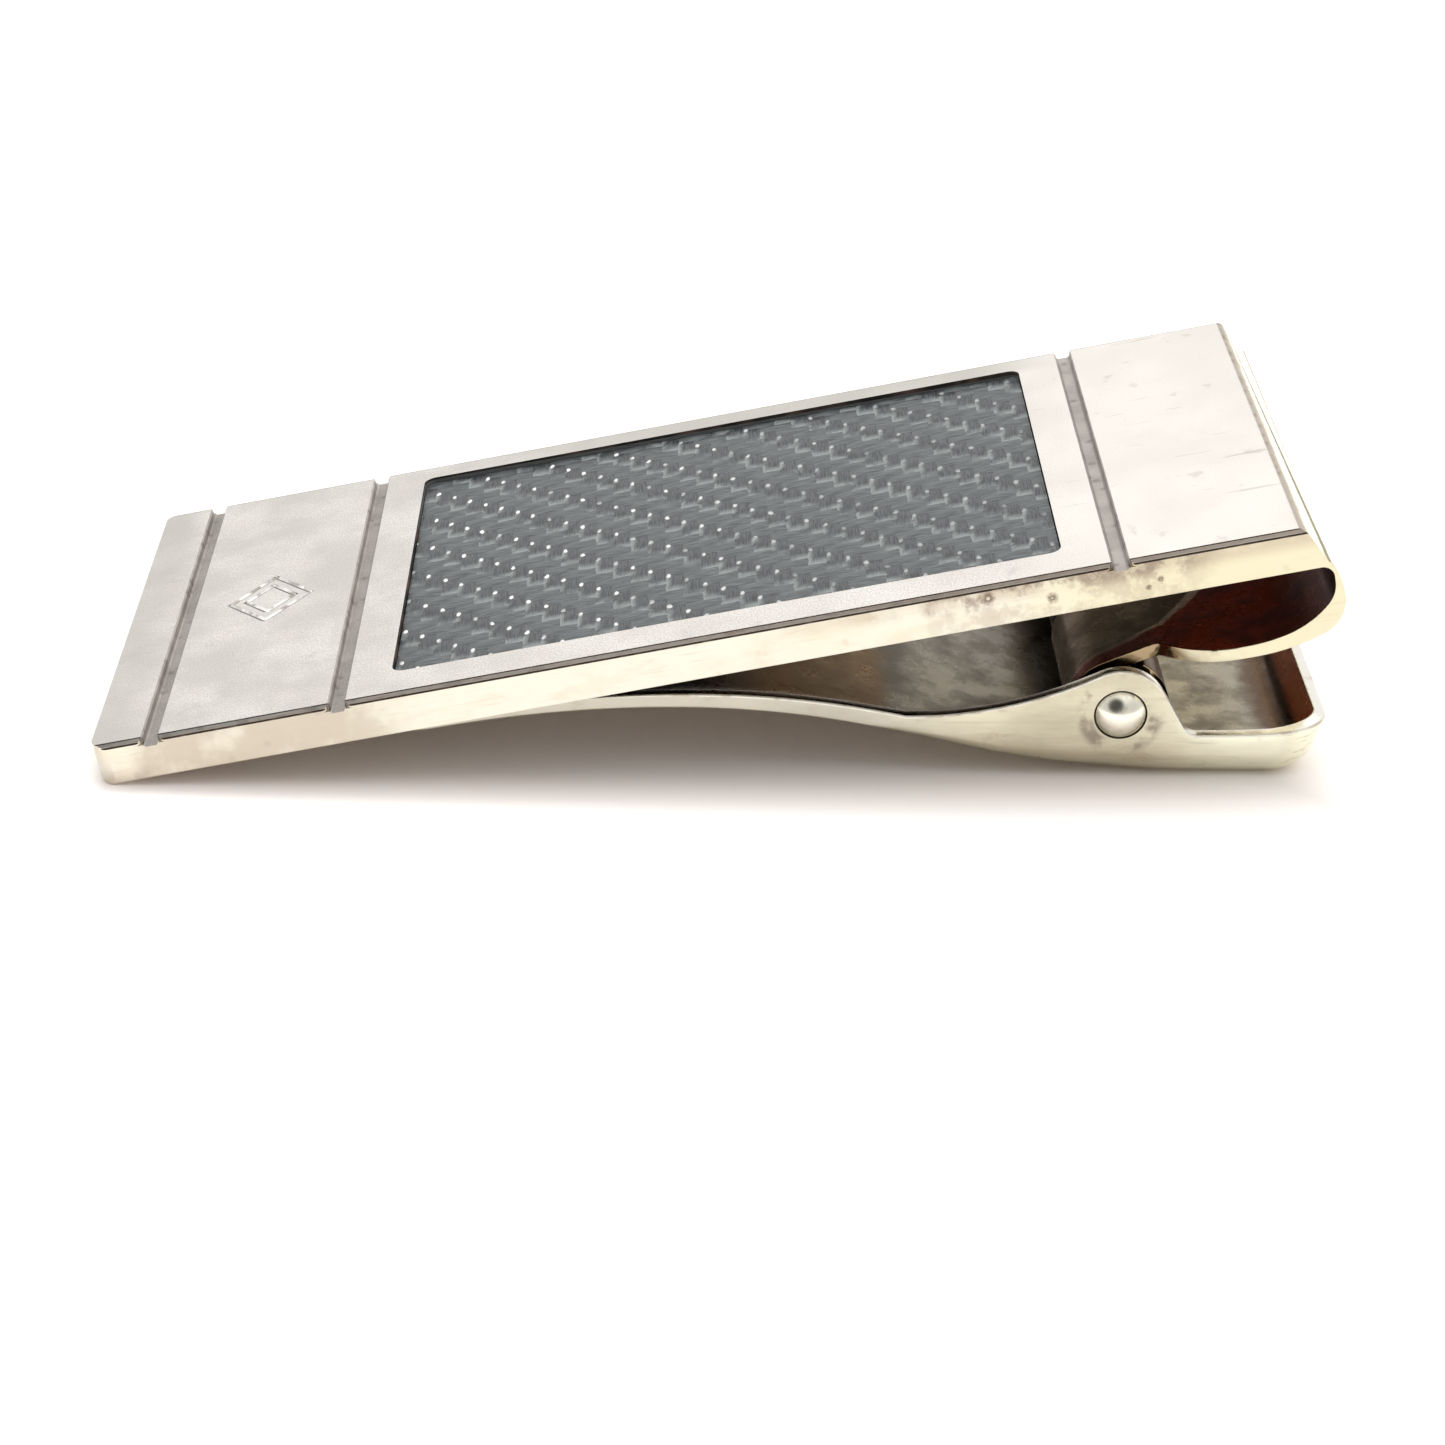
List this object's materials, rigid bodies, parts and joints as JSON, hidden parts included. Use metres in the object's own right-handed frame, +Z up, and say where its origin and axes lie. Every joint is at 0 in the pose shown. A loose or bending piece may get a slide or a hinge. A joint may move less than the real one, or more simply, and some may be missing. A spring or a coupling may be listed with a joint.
{
  "type": "hinged money clip",
  "caption": "Money clip: a thick face plate with a carbon-fibre inlay bends back into a springy strip that carries a sprung, hinged lever.",
  "frame": {"origin": "on the table surface, under the middle of the clip's bounding box", "axes": "+X from the tip towards the bend, +Y from the near side to the far side, +Z up from the table, with the clip in its resting attitude"},
  "size_m": [0.0592, 0.0276, 0.0136],
  "materials": {
    "polished_plate": "satin-brushed top face, polished edges and bend, lightly tarnished",
    "carbon_weave": "twill carbon weave under a thin clear resin",
    "adhesive": "thin film of cured epoxy",
    "polished_lever": "polished sheet with warm tarnish and fine scratches",
    "polished_pin": "mirror-polished domed heads",
    "spring_wire": "drawn music wire"
  },
  "bodies": {
    "plate": {"face_plate": "polished_plate", "carbon_inlay": "carbon_weave", "inlay_adhesive": "adhesive", "hinge_spring": "spring_wire"},
    "lever": {"clip_lever": "polished_lever", "hinge_pin": "polished_pin"}
  },
  "joints": [
    {"name": "lever_hinge", "type": "hinge", "parent": "plate", "child": "lever", "pos_m": [0.01935, 0, 0.00341], "axis": [0, -1, 0], "range_deg": [0, 28], "stiffness_Nm_per_rad": 0.12, "springref_deg": -45.84, "deforming": ["hinge_spring"]}
  ]
}
